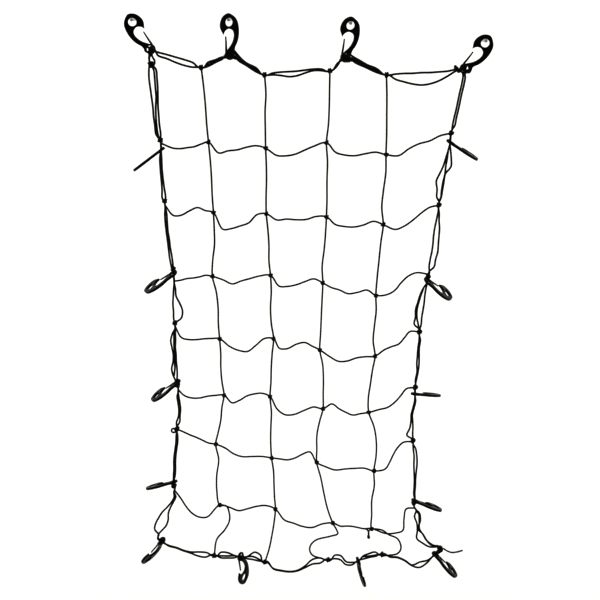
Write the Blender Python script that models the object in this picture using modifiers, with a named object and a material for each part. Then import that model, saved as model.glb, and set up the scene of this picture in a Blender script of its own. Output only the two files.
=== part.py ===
"""A cargo net of knotted cord, hung on four wall pins by the snap hooks of its top edge.

Metres, +Z up. The wall is the plane y = 0 and the origin is where the second pin leaves it.
Every table is in millimetres in the net's own plane: x to the right and z up, from the second pin.
The net's plane starts in front of the wall at the pins and leans out a little towards the bottom.
"""

import math

import bmesh
import bpy
from mathutils import Euler, Matrix, Vector

MM = 0.001
WALL_GAP = 34.0  # wall to the net's plane, at the pins
LEAN_OUT = 2.0  # degrees that the net's foot hangs out from the wall
CLEAR = 0.3  # gap between two pieces that touch

MESH_CORD_R = 1.5
BORDER_CORD_R = 1.65
PASS_LAYER = 1.9  # the two passes of the border lie this far in front of and behind the net
LOOP_LAYER = 5.6  # a slack loop hangs this far in front of the net
KNOT_SHIFT = Vector((0.7, 0.0, -2.3))  # from a knot's table place to the middle of its body

HOOK_THICK = 5.0
EYE_R = 6.4
EYE_RIM_R = 9.6
HEAD_HOLE_R = 7.5
HEAD_HOLE_ACROSS = -4.0
HEAD_HOLE_ALONG = 56.2

PIN_R = 2.3
PIN_HEAD_R = 3.0
PIN_HEAD_LONG = 2.5
PIN_TOP_GAP = 1.0  # the hooks lean, so their holes' edges come closer to the pins than this

# Where a round solid steps in and out, as (radius, height) from the top down.
KNOT_PROFILE = ((0, 4.6), (4.5, 2.4), (3.5, 0), (4.5, -2.4), (0, -4.6))
RIDGED_COLLAR = ((0, 4.8), (6.3, 2.6), (5.6, 0), (6.3, -2.6), (0, -4.8))
PLAIN_COLLAR = ((0, 3.9), (6.2, 2.8), (6.2, -2.8), (0, -3.9))
HITCH = ((0, 4.8), (5.4, 2.6), (4.6, 0), (5.4, -2.6), (0, -4.8))
COLLAR_WIDTH = 0.66  # a collar is squeezed to this share of its depth, seen from the front
COLLAR_REACH = 5.0  # the border runs straight this far either side of a join

# Knots, a line for each cross cord from the top: (x, z) at upright 1 to upright 4.
KNOTS = {
    1: ((-42, -216), (64, -227), (177, -217), (288, -239)),
    2: ((-36, -348), (64, -350), (178, -356), (286, -371)),
    3: ((-41, -472), (71, -470), (172, -485), (275, -510)),
    4: ((-30, -598), (76, -598), (167, -621), (276, -634)),
    5: ((-24, -716), (68, -719), (174, -745), (266, -753)),
    6: ((-43, -822), (70, -852), (162, -862), (279, -881)),
    7: ((-38, -958), (77, -967), (196, -999), (277, -1012)),
}

# Where a cross cord runs between two knots: cross cord, bay from the left, how far right and up it
# leaves the left knot and meets the right one, and how far it sags at five even steps.
CROSS_SPANS = (
    (1, 0, (8, -7), (0, 0), (4, 7, 7, 7, 4)),
    (1, 1, (3, -4), (0, 0), (17, 12, 9, 3, -1)),
    (1, 2, (2, -4), (-7, -1), (14, 17, 16, 11, 6)),
    (1, 3, (2, -3), (0, 0), (14, 16, 14, 7, 1)),
    (1, 4, (2, -2), (0, 0), (9, 3, 0, 1, -2)),
    (2, 0, (2, -2), (0, 0), (16, 14, 4, -4, 0)),
    (2, 1, (1, -3), (0, -1), (31, 30, 25, 19, 3)),
    (2, 2, (2, -4), (0, 0), (10, 8, 9, 8, 2)),
    (2, 3, (1, -3), (0, 0), (12, 14, 13, 7, -2)),
    (2, 4, (1, -4), (0, 0), (15, 15, 10, 3, -2)),
    (3, 0, (1, 5), (0, 0), (4, 2, 2, 1, -1)),
    (3, 1, (3, -3), (-4, 0), (7, 16, 11, 7, 3)),
    (3, 2, (1, -7), (0, 4), (16, 16, 12, 5, -1)),
    (3, 3, (0, -5), (0, 0), (3, 5, 9, 3, -5)),
    (3, 4, (3, -2), (-2, -2), (6, 4, -6, -13, -13)),
    (4, 0, (1, -5), (0, 0), (16, 17, 14, 9, 5)),
    (4, 1, (2, -5), (0, 0), (14, 23, 26, 14, 1)),
    (4, 2, (1, -2), (0, 0), (17, 14, 1, -6, -2)),
    (4, 3, (4, -4), (0, 0), (11, 19, 17, 9, 5)),
    (4, 4, (5, 2), (0, 0), (-1, 0, 2, -4, -10)),
    (5, 0, (1, 9), (0, 0), (19, 21, 18, 11, 6)),
    (5, 1, (1, -5), (0, 0), (14, 9, 0, -4, -5)),
    (5, 2, (1, -6), (0, 0), (20, 29, 25, 13, 2)),
    (5, 3, (3, 4), (0, 0), (-6, 2, 8, 12, 7)),
    (5, 4, (3, -1), (0, 2), (5, 10, 8, 2, -5)),
    (6, 0, (3, 0), (0, 0), (2, 3, 3, 4, 5)),
    (6, 1, (2, -2), (0, 0), (4, 12, 14, 9, 4)),
    (6, 2, (3, -1), (2, 10), (4, 6, 2, -6, -11)),
    (6, 3, (2, -3), (0, 0), (7, 11, 6, 2, -1)),
    (6, 4, (4, -2), (0, 2), (10, 5, -3, -9, -10)),
    (7, 0, (0, -3), (0, 0), (11, 26, 37, 41, 36)),
    (7, 1, (3, 0), (0, 0), (6, 12, 6, -1, -4)),
    (7, 2, (2, -11), (0, 0), (13, 17, 21, 20, 8)),
    (7, 3, (5, -7), (-5, -10), (0, -3, -5, -5, -5)),
    (7, 4, (3, -2), (-5, 8), (25, 35, 39, 18, 1)),
)

# How far an upright bends to the right at a quarter, half and three quarters of each bay, from
# the top edge down.
UPRIGHT_BENDS = {
    1: ((1, 1, 0), (1, 1, 0), (2, 3, 0), (4, 4, 1), (0, -2, -2), (0, 2, 1), (4, -2, -4)),
    2: ((2, 0, 0), (1, 1, 0), (1, 1, -1), (0, -3, -3), (-1, -1, 0), (2, 0, -1), (2, 1, 0)),
    3: ((1, 2, 2), (2, 1, 1), (0, -1, -3), (0, 0, 0), (4, 4, 2), (-4, -6, -3), (0, -2, -3)),
    4: ((1, 1, 1), (1, -2, -4), (-1, -1, -1), (1, -2, -4), (-2, -3, -4), (8, 10, 7), (2, -2, -1)),
}

# The slack lowest bay of each upright: steps (right, up) from its seventh knot.
UPRIGHT_FEET = {
    1: ((14, -4), (20, -20), (20, -38), (10, -59), (-7, -81)),
    2: ((-2, -31), (-7, -63), (-13, -94)),
    3: (
        (9, -16), (11, -24), (-5, -30), (-33, -38),
        (-45, -50), (-47, -63), (-41, -74), (-18, -83),
    ),
    4: ((9, 0), (23, -3), (36, -13), (54, -22), (62, -38), (61, -50), (54, -58), (37, -61)),
}
IN_FRONT = (3, 4)  # the feet that cross other cords, and so hang in front of them

# The stations of the border: (x, z) of each join with the net, hitch (H) and hook eye. A join is
# named by cross cord (0 the top edge, 8 the lower edge) and upright (0 the left, 5 the right).
STATIONS = {
    "T1": (-142, -52), "J01": (-51, -84), "T2": (1.5, -61.5), "J02": (64, -97), "J03": (183, -90),
    "T3": (211, -66), "J04": (286, -97), "T4": (428.1, -86.2),
    "J15": (408.5, -202), "R1": (407, -218.5), "J25": (391, -336), "J35": (377, -470.5),
    "R2": (375.5, -484), "J45": (363, -586.5), "J55": (358.5, -702), "R3": (358, -716),
    "J65": (357.5, -818.5), "R4": (366, -951), "J75": (366.5, -967), "H3": (422, -1061),
    "BR": (412, -1074),
    "BL": (-160, -1044), "J81": (-51.5, -1077), "B2": (4, -1079), "J82": (55, -1092),
    "J83": (188, -1087), "B3": (251, -1089.5), "J84": (301.5, -1074.5),
    "H1": (-144.5, -71), "J10": (-130, -220), "L1": (-130, -233), "J20": (-126.5, -336),
    "L2": (-115.5, -469), "J30": (-114.5, -484), "J40": (-116, -574), "L3": (-116.5, -692),
    "J50": (-114.5, -706.5), "J60": (-120, -791), "L4": (-130.5, -908), "J70": (-129.5, -926),
    "H2": (-167, -1032),
}
SIDES = {
    "top": ("T1", "J01", "T2", "J02", "J03", "T3", "J04", "T4"),
    "right": ("T4", "J15", "R1", "J25", "J35", "R2", "J45", "J55", "R3", "J65", "R4", "J75", "H3", "BR"),
    "left": ("T1", "H1", "J10", "L1", "J20", "L2", "J30", "J40", "L3", "J50", "J60", "L4", "J70", "H2", "BL"),
    "bottom": ("BL", "J81", "B2", "J82", "J83", "B3", "J84", "BR"),
}

# How the passes of the border part between two stations: how far each bends to the right of its
# way, at even steps, for the front pass, the back pass and, where there is one, the third.
BORDER_BENDS = {
    ("T1", "J01"): ((0.4, -1, -2, -3, -3), (6, 6, 7, 7, 5), ()),
    ("J01", "T2"): ((-3, -2, -1.2), (3, 2, 1.2), (0, 0, 0)),
    ("T2", "J02"): ((-1.5, -2, -3), (1.5, 2, 3), (0, 0, 0)),
    ("J02", "J03"): ((-2, -3, -3, -3, -4, -4, -3), (1, 3, 6, 5, 1, -3, -2), ()),
    ("J03", "T3"): ((-1.3,), (1.3,), ()),
    ("T3", "J04"): ((-2, -2.4, -3), (2, 2.4, 3), (0, 0, 0)),
    ("J04", "T4"): ((0, 0, 1, 1, 2, 2, 2, 1), (9, 15, 20, 23, 22, 18, 11, 2), ()),
    ("T4", "J15"): ((-0.5, -1, 0, -0.5, -0.5, 0, 0), (-3.5, -4, -4, -3.5, -3.5, -3, -3), ()),
    ("R1", "J25"): ((1, 3, 5, 9, 13, 9, 7), (-4, -8, -10, -2, -2, -2, -2), (0, 0, 0, -1, 0, 0, -1)),
    ("J25", "J35"): ((0, 1, 2, 2, 1, 1, 2, 2), (-3, -5, -8, -9, -10, -11, -9, -8), ()),
    ("R2", "J45"): ((7, 11, 13, 15, 13, 13), (1, 1, 0, 0, 0, -1), (5, 9, 11, 12, 10, 5)),
    ("J45", "J55"): ((0, 1, 1, 1, -1, 1), (-3, -2, -3, -4, -3, -1), ()),
    ("R3", "J65"): ((0, 3, 6, 6, 8, 13), (-2, 0, 3, 2, 1, 1), ()),
    ("J65", "R4"): ((0, -1, 0, 0, 0, 1, 2), (-5, -7, -7, -5, -3, -2, 0), ()),
    ("J75", "H3"): ((10, 13, 20, 30, 25, 16), (-2, 4, 18, 15, 15, 12), (0, 7, 15, 15, 15, 9)),
    ("H1", "J10"): ((5, 9, 8, 8, 6, 6, 6, 6), (-4, -4, -4, -3, -3, -3, -2, -2), (-1, -1, -1, 0, 2, 3, 4, 3)),
    ("L1", "J20"): ((2, 3, 3, 3, 3, 4), (1, 1, 1, 0, -1, -2), ()),
    ("J20", "L2"): ((2, 3, 3, 3, 3, 3, 2), (-1, 0, 1, 0, 0, -1, -1), ()),
    ("J30", "J40"): ((1, 2, 3, 2, 2), (-2, -3, -10, -15, -12), ()),
    ("J40", "L3"): ((5, 9, 7, 5, 6, 9, 6), (0, 0, 1, 0, 0, -1, -1), (2, 3, 3, 2, 3, 3, 2)),
    ("J50", "J60"): ((1, -1, -3, -3, 1), (-1, -4, -6, -5, -5), ()),
    ("J60", "L4"): ((0, 0, 1, 2, 2, 1, 1), (-2, -3, -2, -1, -1, -2, -2), ()),
    ("J70", "H2"): ((-4, -2, 3, 9, 12, 14, 12), (-7, -6, -4, -4, -8, -8, -3), ()),
    ("BL", "J81"): ((4, 4, 6, 5, 0, -3), (7, 7, 9, 10, 12, 10), ()),
    ("J81", "B2"): ((-9, -9, -3), (6, 6, 5), (-1, 0, 2)),
    ("B2", "J82"): ((-4, -18, -14), (3, 2, 2), (-4, -6, -2)),
    ("J82", "J83"): ((15, 21, 24, 22, 12, -3, -6), (18, 23, 26, 25, 18, 10, 8), ()),
    ("J83", "B3"): ((-12, -12, 2, 3), (-2, 0, 11, 11), ()),
    ("B3", "J84"): ((-9, -11, -11), (0, 0, 1), (-4, -4, -5)),
    ("J84", "BR"): ((4, 6, 13, 24, 17, 13), (7, 8, 16, 28, 32, 21), ()),
}

# Snap hooks: station of the eye, the turns in degrees, and how far the eye hangs out along the hook
# until its edge rests on the cord. Swing turns the hook clockwise from straight up, lean brings
# its head forward, and roll turns it about its own length.
HOOKS = {
    "hook_top_1": ("T1", -29.5, -4, 13, 0),
    "hook_top_2": ("T2", -3.5, 8, -150, 0),
    "hook_top_3": ("T3", 4, 12, -170, 0),
    "hook_top_4": ("T4", 32, 12, 176, 0),
    "hook_left_1": ("L1", -126, -22, 90, 1.3),
    "hook_left_2": ("L2", -122, -16, 72, 1.3),
    "hook_left_3": ("L3", -127, -19, 79, 0.7),
    "hook_left_4": ("L4", -116, -28, 106, 2.0),
    "hook_right_1": ("R1", 120, -28, 97, 2.4),
    "hook_right_2": ("R2", 125.5, -27, 112, 0),
    "hook_right_3": ("R3", 111, -42, 70, 2.2),
    "hook_right_4": ("R4", 120.5, -26, 78, 1.8),
    "hook_bottom_1": ("BL", -142, -7, -57, 1.7),
    "hook_bottom_2": ("B2", 177, -7, -58, 0.3),
    "hook_bottom_3": ("B3", 167.5, -11, -103, 1.3),
    "hook_bottom_4": ("BR", 138, -10, 97, 3.6),
}

# The hook's outline as (across, along) from its eye: the back from the rim to the nose, the mouth
# from the nose down to the root of the tongue, and the tongue.
HOOK_BACK = (
    (-9.4, 3.5), (-11.4, 12), (-16.4, 20), (-20.2, 30), (-22, 44), (-19.2, 59.5),
    (-11, 68.4), (-3.5, 71.6), (8.4, 65.4), (14.3, 50.5), (9.4, 36.2),
)
HOOK_MOUTH = ((9.4, 36.2), (5.6, 42), (-2, 45.2), (-10.3, 41), (-12.1, 33), (-6.9, 19.6), (4.1, 8))
HOOK_TONGUE = ((4.8, 9), (3.9, 33.4), (6.1, 33.4), (8.6, 6))

# The free end of the border cord, from the last hitch: steps (right, forward, up).
TAIL_ROUTE = ((7.2, 0, 0.5), (15, 2, -6), (25, 3, -10.5), (38, 3, -9), (48, 2, -5))

MATERIALS = {
    "black_braid": ((0.010, 0.010, 0.011), 0.75, 0.0),
    "black_nylon": ((0.008, 0.008, 0.009), 0.42, 0.0),
    "pin_steel": ((0.42, 0.42, 0.43), 0.35, 0.9),
}


def material(name):
    colour, roughness, metallic = MATERIALS[name]
    made = bpy.data.materials.get(name) or bpy.data.materials.new(name)
    made.use_nodes = True
    shader = made.node_tree.nodes["Principled BSDF"]
    shader.inputs["Base Color"].default_value = (*colour, 1.0)
    shader.inputs["Roughness"].default_value = roughness
    shader.inputs["Metallic"].default_value = metallic
    return made


def place(station, layer=0.0):
    x, z = STATIONS[station]
    return Vector((x, layer, z))


def spline(points, steps=8):
    """A smooth line through the points, with an even number of steps between neighbours."""
    ends = [2 * points[0] - points[1], *points, 2 * points[-1] - points[-2]]
    path = []
    for a, b, c, d in zip(ends, ends[1:], ends[2:], ends[3:]):
        before, here, after = ((q - p).length ** 0.5 + 1e-6 for p, q in ((a, b), (b, c), (c, d)))
        slope_b = (c - b) + here * ((b - a) / before - (c - a) / (before + here))
        slope_c = (c - b) + here * ((d - c) / after - (d - b) / (here + after))
        for step in range(steps):
            t = step / steps
            path.append(
                (2 * t**3 - 3 * t**2 + 1) * b
                + (t**3 - 2 * t**2 + t) * slope_b
                + (3 * t**2 - 2 * t**3) * c
                + (t**3 - t**2) * slope_c
            )
    return path + [points[-1]]


def thinned(path, tolerance=2.1):
    """The fewest points of the path that stay within the tolerance of it."""
    start, end = path[0], path[-1]
    chord = (end - start).normalized() if (end - start).length > 1e-6 else Vector((0, 0, 0))
    off = [((p - start) - (p - start).dot(chord) * chord).length for p in path]
    far = max(range(len(path)), key=off.__getitem__)
    if off[far] < tolerance or len(path) < 3:
        return [start, end]
    return thinned(path[: far + 1], tolerance)[:-1] + thinned(path[far:], tolerance)


def smoothed(points, pinned=()):
    """A thinned spline through the points that still passes exactly through the pinned ones."""
    steps = 8
    path = spline(points, steps)
    stops = [0, *(i * steps for i in pinned), len(path) - 1]
    line = [path[0]]
    for first, last in zip(stops, stops[1:]):
        if last > first:
            line += thinned(path[first : last + 1])[1:]
    return line


def bowed(start, end, bends):
    """Points at even steps from start to end, each bent to the right of the way by its own amount."""
    way = end - start
    right = Vector((way.z, 0.0, -way.x)).normalized()
    share = 1.0 / (len(bends) + 1)
    return [start + way * share * (i + 1) + right * bend for i, bend in enumerate(bends)]


def evaluated_mesh(shape):
    graph = bpy.context.evaluated_depsgraph_get()
    return bpy.data.meshes.new_from_object(shape.evaluated_get(graph), depsgraph=graph)


def mesh_object(name, mesh, collection, matrix=None):
    made = bpy.data.objects.new(name, mesh)
    collection.objects.link(made)
    if matrix is not None:
        made.matrix_world = matrix
    return made


def from_curve(name, curve, collection):
    """The curve as a mesh, with its caps welded on."""
    guide = bpy.data.objects.new(name + "_guide", curve)
    bpy.context.scene.collection.objects.link(guide)
    mesh = evaluated_mesh(guide)
    shell = bmesh.new()
    shell.from_mesh(mesh)
    bmesh.ops.remove_doubles(shell, verts=shell.verts, dist=1e-6)
    bmesh.ops.recalc_face_normals(shell, faces=shell.faces)
    shell.to_mesh(mesh)
    shell.free()
    made = mesh_object(name, mesh, collection, guide.matrix_world.copy())
    bpy.data.objects.remove(guide)
    return made


def tube(name, path, radius, collection, closed=False, bevel_resolution=1):
    curve = bpy.data.curves.new(name, "CURVE")
    curve.dimensions = "3D"
    curve.bevel_depth = radius * MM
    curve.bevel_resolution = bevel_resolution
    curve.use_fill_caps = not closed
    line = curve.splines.new("POLY")
    line.points.add(len(path) - 1)
    for point, where in zip(line.points, path):
        point.co = (*(where * MM), 1.0)
    line.use_cyclic_u = closed
    return from_curve(name, curve, collection)


def turned_mesh(name, profile, steps):
    """A solid turned about Z from (radius, height) corners that run down its outer side."""
    mesh = bpy.data.meshes.new(name)
    corners = [(radius * MM, 0.0, height * MM) for radius, height in profile]
    mesh.from_pydata(corners, [(i, i + 1) for i in range(len(corners) - 1)], [])
    shape = mesh_object(name, mesh, bpy.context.scene.collection)
    screw = shape.modifiers.new("turn", "SCREW")
    screw.steps = steps
    screw.render_steps = steps
    screw.use_merge_vertices = True
    screw.merge_threshold = 1e-6
    made = evaluated_mesh(shape)
    bpy.data.objects.remove(shape)
    return made


def standing(centre, axis, squeeze=1.0):
    """The matrix that puts a turned solid's middle at a place, with its own Z along the axis."""
    turn = Vector((0, 0, 1)).rotation_difference(axis).to_matrix().to_4x4()
    return Matrix.Translation(centre * MM) @ turn @ Matrix.Diagonal((squeeze, 1.0, 1.0, 1.0))


def fused(name, pieces):
    """One solid from pieces that run into each other."""
    group = bpy.data.collections.new(name + "_pieces")
    helpers.children.link(group)
    for piece in pieces[1:]:
        helpers.objects.unlink(piece)
        group.objects.link(piece)
    union = pieces[0].modifiers.new("join", "BOOLEAN")
    union.operation = "UNION"
    union.operand_type = "COLLECTION"
    union.solver = "MANIFOLD"  # every piece is closed, and the cords' flats meet edge on
    union.collection = group
    made = mesh_object(name, evaluated_mesh(pieces[0]), parts)
    for piece in pieces:
        bpy.data.objects.remove(piece)
    bpy.data.collections.remove(group)
    return made


def finish(obj, look):
    obj.data.materials.clear()
    obj.data.materials.append(material(look))
    obj.data.shade_smooth()
    obj.data.set_sharp_from_angle(angle=math.radians(50))


def hook_turn(name):
    _, swing, lean, roll, _ = HOOKS[name]
    turns = [math.radians(angle) for angle in (lean, swing, roll)]
    return Euler(turns, "ZXY").to_matrix()


def hook_point(name, across, along):
    """A place on a hook's middle plane, from the middle of its eye."""
    station, _, _, _, slip = HOOKS[name]
    return place(station) + hook_turn(name) @ Vector((across, 0, along + slip))


HOOK_AT = {row[0]: name for name, row in HOOKS.items()}


def eye_line(station, before, after):
    """The border's middle line through a hook's eye, and the way its two passes lie side by side.

    Where the border meets the hook's flat side it goes over the rim, through the eye and out
    on the other side. Where it meets the hook's edge it runs straight through.
    """
    eye = place(station)
    if station not in HOOK_AT:
        reach = border_heading(station) * COLLAR_REACH
        return [eye - reach, eye + reach], Vector((0, 1, 0))
    flat = hook_turn(HOOK_AT[station]) @ Vector((0, 1, 0))
    ways = [(place(near) - eye).normalized() if near else None for near in (before, after)]
    slopes = [way.dot(flat) for way in ways]
    side = math.copysign(1, slopes[0]) if abs(slopes[0]) > abs(slopes[1]) else -math.copysign(1, slopes[1])
    lines = []
    for way, slope, face in ((ways[0], slopes[0], side), (ways[1], slopes[1], -side)):
        along = (way - slope * flat).normalized()
        over = [] if abs(slope) > 0.66 else [(2.2, 3.7), (8.8, 5.6)]
        lines.append([eye + along * out + flat * face * up for out, up in over])
    if not lines[0] and not lines[1]:
        return [eye], Vector((0, 1, 0))
    across = flat.cross(ways[1] - ways[0]).normalized()
    if across.y < -0.3 or (abs(across.y) <= 0.3 and across.z < 0):
        across = -across
    return [*reversed(lines[0]), eye, *lines[1]], across


def ring():
    """The border's stations once round, clockwise from the first hook."""
    right, bottom, left = SIDES["right"], SIDES["bottom"], SIDES["left"]
    return [*SIDES["top"][:-1], *right[:-1], *reversed(bottom[1:]), *reversed(left[1:])]


def border_pass(which):
    """One pass of the border, 0 in front and 1 behind, and which of its points are fixed."""
    stations = ring()
    points = []
    pinned = []
    for i, here in enumerate(stations):
        before, after = stations[i - 1], stations[(i + 1) % len(stations)]
        middle, across = eye_line(here, before, after)
        shift = across * PASS_LAYER * (2 * which - 1)
        pinned += range(len(points), len(points) + len(middle))
        points += [point + shift for point in middle]
        layer = PASS_LAYER * (2 * which - 1)
        if (here, after) in BORDER_BENDS:
            bends = BORDER_BENDS[here, after][which]
            points += bowed(place(here, layer), place(after, layer), bends)
        elif (after, here) in BORDER_BENDS:
            bends = BORDER_BENDS[after, here][which]
            points += reversed(bowed(place(after, layer), place(here, layer), bends))
    return [*points, points[0]], pinned


def third_passes(front):
    """The short third passes, each run into the front pass at both ends."""
    for (start, end), (_, _, bends) in BORDER_BENDS.items():
        if not bends:
            continue
        middle = bowed(place(start), place(end), bends)
        ends = []
        for station, near in ((start, middle[0]), (end, middle[-1])):
            out = (near - place(station)).normalized() * (14 if station in HOOK_AT else 8)
            ends.append(min(front, key=lambda p: (p - place(station, -PASS_LAYER) - out).length))
        inner = [p for p in middle if min((p - ends[0]).length, (p - ends[1]).length) > 7]
        yield [ends[0], *inner, ends[1]]


def upright_path(upright):
    """An upright cord from its join with the top edge to its join with the lower edge."""
    path = [place(f"J0{upright}")]
    for row, bends in enumerate(UPRIGHT_BENDS[upright], 1):
        x, z = KNOTS[row][upright - 1]
        knot = Vector((x, 0, z)) + KNOT_SHIFT
        path += [*bowed(path[-1], knot, [-bend for bend in bends]), knot]
    x, z = KNOTS[7][upright - 1]
    layer = -LOOP_LAYER if upright in IN_FRONT else 0.0
    path += [Vector((x + right, layer, z + up)) for right, up in UPRIGHT_FEET[upright]]
    return path + [place(f"J8{upright}", layer * 0.93)]


def cross_path(row):
    """A cross cord from the left border to the right border."""
    stops = [place(f"J{row}0")]
    stops += [Vector((x, 0, z)) for x, z in KNOTS[row]]
    stops += [place(f"J{row}5")]
    path = [stops[0]]
    for span_row, bay, leave, meet, sags in CROSS_SPANS:
        if span_row != row:
            continue
        start = stops[bay] + Vector((leave[0], 0, leave[1]))
        end = stops[bay + 1] + Vector((meet[0], 0, meet[1]))
        path += bowed(start, end, sags)
        if bay < 4:
            path += [stops[bay + 1] + KNOT_SHIFT]
    return path + [stops[-1]]


def border_heading(station):
    """The way the border runs through a station."""
    stations = ring()
    i = stations.index(station)
    return (place(stations[(i + 1) % len(stations)]) - place(stations[i - 1])).normalized()


def build_border():
    pieces = []
    for which in (0, 1):
        points, pinned = border_pass(which)
        path = smoothed(points, pinned)[:-1]
        pieces.append(tube(f"pass_{which}", path, BORDER_CORD_R, helpers, closed=True))
    front, _ = border_pass(0)
    for number, points in enumerate(third_passes(spline(front))):
        pieces.append(tube(f"third_{number}", smoothed(points), BORDER_CORD_R, helpers))
    hitch = turned_mesh("hitch", HITCH, 6)
    for station in ("H1", "H2", "H3"):
        pieces.append(mesh_object(station, hitch, helpers, standing(place(station), border_heading(station))))
    return fused("border_cord", pieces)


def bore(station):
    """The hole that the two passes of the border run through, a little wider than they are."""
    shell = bmesh.new()
    bmesh.ops.create_cone(shell, cap_ends=True, segments=6, radius1=1.0, radius2=1.0, depth=2.0)
    half_width = BORDER_CORD_R + 4.5 * CLEAR
    half_depth = PASS_LAYER + BORDER_CORD_R + 3.5 * CLEAR
    size = Matrix.Diagonal((half_width, half_depth, 1.6 * COLLAR_REACH, 1.0))
    bmesh.ops.transform(shell, matrix=Matrix.Scale(MM, 4) @ size, verts=shell.verts)
    mesh = bpy.data.meshes.new("bore")
    shell.to_mesh(mesh)
    shell.free()
    return mesh_object(f"bore_{station}", mesh, helpers, standing(place(station), border_heading(station)))


def build_net():
    pieces = []
    for row in KNOTS:
        pieces.append(tube(f"cross_{row}", smoothed(cross_path(row)), MESH_CORD_R, helpers))
    for upright in UPRIGHT_BENDS:
        pieces.append(tube(f"upright_{upright}", smoothed(upright_path(upright)), MESH_CORD_R, helpers))
    x, z = KNOTS[7][3]
    stub = [Vector((x, 0, z - 3)), Vector((x - 2, 0, z - 14)), Vector((x - 4, 0, z - 23))]
    pieces.append(tube("stub", stub, MESH_CORD_R, helpers))
    knob = turned_mesh("knot", KNOT_PROFILE, 6)
    for row, knots in KNOTS.items():
        for upright, (x, z) in enumerate(knots, 1):
            lean = math.radians(16 if (row + upright) % 2 else -12)
            axis = Vector((math.sin(lean), 0, math.cos(lean)))
            centre = Vector((x, 0, z)) + KNOT_SHIFT
            pieces.append(mesh_object(f"knot_{row}{upright}", knob, helpers, standing(centre, axis)))
    ridged = turned_mesh("ridged_collar", RIDGED_COLLAR, 6)
    plain = turned_mesh("plain_collar", PLAIN_COLLAR, 6)
    for station in STATIONS:
        if station[0] == "J":
            shape = plain if station[1] in "08" else ridged
            matrix = standing(place(station), border_heading(station), COLLAR_WIDTH)
            pieces.append(mesh_object(f"collar_{station}", shape, helpers, matrix))
    net = fused("net", pieces)
    bores = bpy.data.collections.new("border_bores")
    helpers.children.link(bores)
    for station in STATIONS:
        if station[0] == "J":
            cutter = bore(station)
            helpers.objects.unlink(cutter)
            bores.objects.link(cutter)
    cut = net.modifiers.new("border_bores", "BOOLEAN")
    cut.operation = "DIFFERENCE"
    cut.operand_type = "COLLECTION"
    cut.solver = "MANIFOLD"
    cut.collection = bores
    return net


def circle(radius, centre, sides):
    """The corners of a polygon whose flats lie on the circle."""
    outer = radius / math.cos(math.pi / sides)
    turns = [2 * math.pi * (i + 0.5) / sides for i in range(sides)]
    return [(centre[0] + outer * math.cos(t), centre[1] + outer * math.sin(t)) for t in turns]


def hook_mesh():
    """The flat hook: across is X, thickness is Y and along is Z, with the eye at the origin."""
    flat = [[Vector((across, along, 0)) for across, along in part] for part in (HOOK_BACK, HOOK_MOUTH)]
    back, mouth = [thinned(spline(part), 1.1) for part in flat]
    tongue = [Vector((across, along, 0)) for across, along in HOOK_TONGUE]
    turns = [math.radians(angle) for angle in (15, -35, -85, -135)]
    rim = [Vector((EYE_RIM_R * math.cos(t), EYE_RIM_R * math.sin(t), 0)) for t in turns]
    outline = [(p.x, p.y) for p in (*back, *mouth[1:], *tongue, *rim)]
    eye = circle(EYE_R, (0, 0), 8)
    head_hole = circle(HEAD_HOLE_R, (HEAD_HOLE_ACROSS, HEAD_HOLE_ALONG), 8)
    curve = bpy.data.curves.new("hook", "CURVE")
    curve.dimensions = "2D"
    curve.fill_mode = "BOTH"
    curve.extrude = HOOK_THICK / 2 * MM
    for corners in (outline, eye, head_hole):
        line = curve.splines.new("POLY")
        line.points.add(len(corners) - 1)
        for point, (across, along) in zip(line.points, corners):
            point.co = (across * MM, along * MM, 0.0, 1.0)
        line.use_cyclic_u = True
    shape = from_curve("hook_shape", curve, helpers)
    mesh = shape.data
    bpy.data.objects.remove(shape)
    mesh.transform(Matrix.Rotation(math.radians(90), 4, "X"))
    return mesh


def build_hooks():
    shape = hook_mesh()
    for name, (_, swing, lean, roll, _) in HOOKS.items():
        hook = mesh_object(name, shape.copy(), parts)
        hook.location = hook_point(name, 0, 0) * MM
        hook.rotation_mode = "ZXY"
        hook.rotation_euler = [math.radians(angle) for angle in (lean, swing, roll)]
        hook.parent = hang
        finish(hook, "black_nylon")


def pin_place(number):
    """Where a pin leaves the wall: its upper side is just under the edge of its hook's head hole."""
    hole = hook_point(f"hook_top_{number}", HEAD_HOLE_ACROSS, HEAD_HOLE_ALONG)
    where = hang.matrix_world @ (hole * MM)
    where.z += (HEAD_HOLE_R - PIN_R - PIN_TOP_GAP) * MM
    return where


def build_pins():
    for number in range(1, 5):
        where = pin_place(number)
        front = -where.y / MM + HOOK_THICK + 1.5
        profile = (
            (0, front + PIN_HEAD_LONG),
            (PIN_HEAD_R, front + PIN_HEAD_LONG * 0.5),
            (PIN_HEAD_R, front),
            (PIN_R, front - 0.8),
            (PIN_R, 0),
            (0, 0),
        )
        pin = mesh_object(f"wall_pin_{number}", turned_mesh("pin", profile, 10), parts)
        pin.rotation_euler = (math.radians(90), 0, 0)
        pin.location = (where.x, 0, where.z)
        finish(pin, "pin_steel")


for old in list(bpy.data.objects):
    bpy.data.objects.remove(old)
scene = bpy.context.scene
parts = bpy.data.collections.new("cargo_net")
helpers = bpy.data.collections.new("cutters")
scene.collection.children.link(parts)
scene.collection.children.link(helpers)

hang = bpy.data.objects.new("net_hang", None)
parts.objects.link(hang)
hang.location = (0, -WALL_GAP * MM, 0)
hang.rotation_euler = (math.radians(-LEAN_OUT), 0, 0)
bpy.context.view_layer.update()
second_pin = pin_place(2)
hang.location -= Vector((second_pin.x, 0, second_pin.z))
bpy.context.view_layer.update()

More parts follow.
